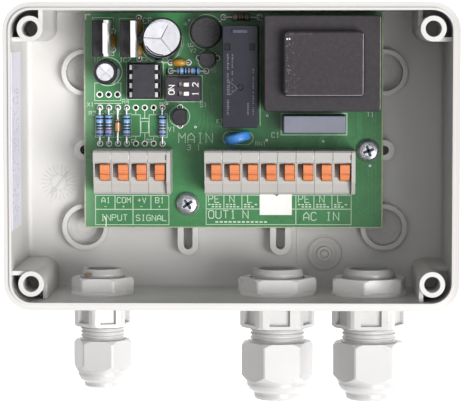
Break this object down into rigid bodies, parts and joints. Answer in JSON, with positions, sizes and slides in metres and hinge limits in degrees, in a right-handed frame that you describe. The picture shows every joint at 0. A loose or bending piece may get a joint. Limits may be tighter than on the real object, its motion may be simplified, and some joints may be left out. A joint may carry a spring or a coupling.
{
  "type": "wall box control unit",
  "caption": "Open plastic wall box with a mains-powered circuit board, lever terminal strips and cable glands in its lower wall.",
  "frame": {"origin": "centre of the enclosure's back outer face", "axes": "+X along the long side (to the right, seen from the front with the glands below), +Y away from the wall with the glands, +Z out of the open front"},
  "size_m": [0.122, 0.1097, 0.045],
  "materials": {
    "board_green": "glossy solder mask",
    "can_aluminium": "drawn",
    "case_dark": "fine texture",
    "case_lavender": "moulded",
    "ceramic_ochre": "dipped",
    "coil_copper": "enamelled wire",
    "contact_tin": "tin plated",
    "core_steel": "laminated",
    "diode_glass": "clear glass",
    "epoxy_blue": "dipped",
    "epoxy_dark": "moulded epoxy",
    "gland_nylon": "moulded satin",
    "housing_grey": "fine moulded satin",
    "knob_white": "moulded",
    "label_film": "printed matt film",
    "lever_orange": "moulded",
    "relay_dark": "moulded",
    "resistor_blue": "lacquer with colour bands",
    "resistor_brown": "lacquer",
    "screw_steel": "bright zinc plating",
    "seal_rubber": "matt",
    "sleeve_black": "shrink sleeve",
    "socket_black": "moulded",
    "spring_steel": "rolled strip",
    "sticker_paper": "matt",
    "switch_plum": "moulded",
    "tab_tinned": "tin plated",
    "terminal_grey": "moulded"
  },
  "bodies": {
    "unit": {"board_screws": "screw_steel", "board_sticker": "sticker_paper", "bridge_rectifier": "epoxy_dark", "capacitor_cans": "can_aluminium", "capacitor_sleeves": "sleeve_black", "ceramic_capacitors": "ceramic_ochre", "circuit_board": "board_green", "clamp_springs": "spring_steel", "component_leads": "tab_tinned", "diode": "diode_glass", "enclosure_base": "housing_grey", "film_capacitor": "case_lavender", "film_resistors": "resistor_blue", "fusible_resistor": "resistor_brown", "gland_bodies_power": "gland_nylon", "gland_body_signal": "gland_nylon", "gland_flat_seals": "seal_rubber", "gland_lock_nuts": "gland_nylon", "ic_chip": "epoxy_dark", "ic_legs": "tab_tinned", "ic_socket": "socket_black", "inner_label": "label_film", "regulator_packages": "epoxy_dark", "regulator_tabs": "tab_tinned", "relay_case": "relay_dark", "relay_coil": "coil_copper", "switch_body": "switch_plum", "terminal_contacts": "contact_tin", "terminal_end_plates": "terminal_grey", "terminal_strip_input": "terminal_grey", "terminal_strip_power": "terminal_grey", "transformer_case": "case_dark", "transformer_coil": "coil_copper", "transformer_core": "core_steel", "transistors": "epoxy_dark", "varistor": "epoxy_blue"},
    "lever_01": {"lever_01": "lever_orange"},
    "lever_02": {"lever_02": "lever_orange"},
    "lever_03": {"lever_03": "lever_orange"},
    "lever_04": {"lever_04": "lever_orange"},
    "lever_05": {"lever_05": "lever_orange"},
    "lever_06": {"lever_06": "lever_orange"},
    "lever_07": {"lever_07": "lever_orange"},
    "lever_08": {"lever_08": "lever_orange"},
    "lever_09": {"lever_09": "lever_orange"},
    "lever_10": {"lever_10": "lever_orange"},
    "lever_11": {"lever_11": "lever_orange"},
    "lever_12": {"lever_12": "lever_orange"},
    "switch_slider_1": {"switch_slider_1": "knob_white"},
    "switch_slider_2": {"switch_slider_2": "knob_white"},
    "clamp_signal": {"clamp_cage_signal": "gland_nylon", "seal_insert_signal": "seal_rubber"},
    "dome_nut_signal": {"dome_nut_signal": "gland_nylon"},
    "clamp_output": {"clamp_cage_output": "gland_nylon", "seal_insert_output": "seal_rubber"},
    "dome_nut_output": {"dome_nut_output": "gland_nylon"},
    "clamp_mains": {"clamp_cage_mains": "gland_nylon", "seal_insert_mains": "seal_rubber"},
    "dome_nut_mains": {"dome_nut_mains": "gland_nylon"}
  },
  "joints": [
    {"name": "press_lever_01", "type": "slide", "parent": "unit", "child": "lever_01", "axis": [0, 0, -1], "range_m": [0, 0.0012], "stiffness_N_per_m": 800, "springref_m": -0.0005},
    {"name": "press_lever_02", "type": "slide", "parent": "unit", "child": "lever_02", "axis": [0, 0, -1], "range_m": [0, 0.0012], "stiffness_N_per_m": 800, "springref_m": -0.0005},
    {"name": "press_lever_03", "type": "slide", "parent": "unit", "child": "lever_03", "axis": [0, 0, -1], "range_m": [0, 0.0012], "stiffness_N_per_m": 800, "springref_m": -0.0005},
    {"name": "press_lever_04", "type": "slide", "parent": "unit", "child": "lever_04", "axis": [0, 0, -1], "range_m": [0, 0.0012], "stiffness_N_per_m": 800, "springref_m": -0.0005},
    {"name": "press_lever_05", "type": "slide", "parent": "unit", "child": "lever_05", "axis": [0, 0, -1], "range_m": [0, 0.0012], "stiffness_N_per_m": 800, "springref_m": -0.0005},
    {"name": "press_lever_06", "type": "slide", "parent": "unit", "child": "lever_06", "axis": [0, 0, -1], "range_m": [0, 0.0012], "stiffness_N_per_m": 800, "springref_m": -0.0005},
    {"name": "press_lever_07", "type": "slide", "parent": "unit", "child": "lever_07", "axis": [0, 0, -1], "range_m": [0, 0.0012], "stiffness_N_per_m": 800, "springref_m": -0.0005},
    {"name": "press_lever_08", "type": "slide", "parent": "unit", "child": "lever_08", "axis": [0, 0, -1], "range_m": [0, 0.0012], "stiffness_N_per_m": 800, "springref_m": -0.0005},
    {"name": "press_lever_09", "type": "slide", "parent": "unit", "child": "lever_09", "axis": [0, 0, -1], "range_m": [0, 0.0012], "stiffness_N_per_m": 800, "springref_m": -0.0005},
    {"name": "press_lever_10", "type": "slide", "parent": "unit", "child": "lever_10", "axis": [0, 0, -1], "range_m": [0, 0.0012], "stiffness_N_per_m": 800, "springref_m": -0.0005},
    {"name": "press_lever_11", "type": "slide", "parent": "unit", "child": "lever_11", "axis": [0, 0, -1], "range_m": [0, 0.0012], "stiffness_N_per_m": 800, "springref_m": -0.0005},
    {"name": "press_lever_12", "type": "slide", "parent": "unit", "child": "lever_12", "axis": [0, 0, -1], "range_m": [0, 0.0012], "stiffness_N_per_m": 800, "springref_m": -0.0005},
    {"name": "set_switch_slider_1", "type": "slide", "parent": "unit", "child": "switch_slider_1", "axis": [-1, 0, 0], "range_m": [0, 0.0016]},
    {"name": "set_switch_slider_2", "type": "slide", "parent": "unit", "child": "switch_slider_2", "axis": [-1, 0, 0], "range_m": [0, 0.0016]},
    {"name": "travel_signal", "type": "slide", "parent": "unit", "child": "clamp_signal", "axis": [0, 1, 0], "range_m": [-0.00105, 0.00157]},
    {"name": "turn_dome_nut_signal", "type": "hinge", "parent": "clamp_signal", "child": "dome_nut_signal", "pos_m": [-0.0362, -0.0561, 0.022], "axis": [0, 1, 0], "range_deg": [-365, 545]},
    {"name": "travel_output", "type": "slide", "parent": "unit", "child": "clamp_output", "axis": [0, 1, 0], "range_m": [-0.00115, 0.00172]},
    {"name": "turn_dome_nut_output", "type": "hinge", "parent": "clamp_output", "child": "dome_nut_output", "pos_m": [0.0123, -0.0589, 0.022], "axis": [0, 1, 0], "range_deg": [-365, 545]},
    {"name": "travel_mains", "type": "slide", "parent": "unit", "child": "clamp_mains", "axis": [0, 1, 0], "range_m": [-0.00115, 0.00172]},
    {"name": "turn_dome_nut_mains", "type": "hinge", "parent": "clamp_mains", "child": "dome_nut_mains", "pos_m": [0.0377, -0.0589, 0.022], "axis": [0, 1, 0], "range_deg": [-365, 545]}
  ],
  "couplings": [
    {"joint": "turn_dome_nut_signal", "follows": "travel_signal", "rad_per_m": 5984},
    {"joint": "turn_dome_nut_output", "follows": "travel_output", "rad_per_m": 5463.6},
    {"joint": "turn_dome_nut_mains", "follows": "travel_mains", "rad_per_m": 5463.6}
  ]
}
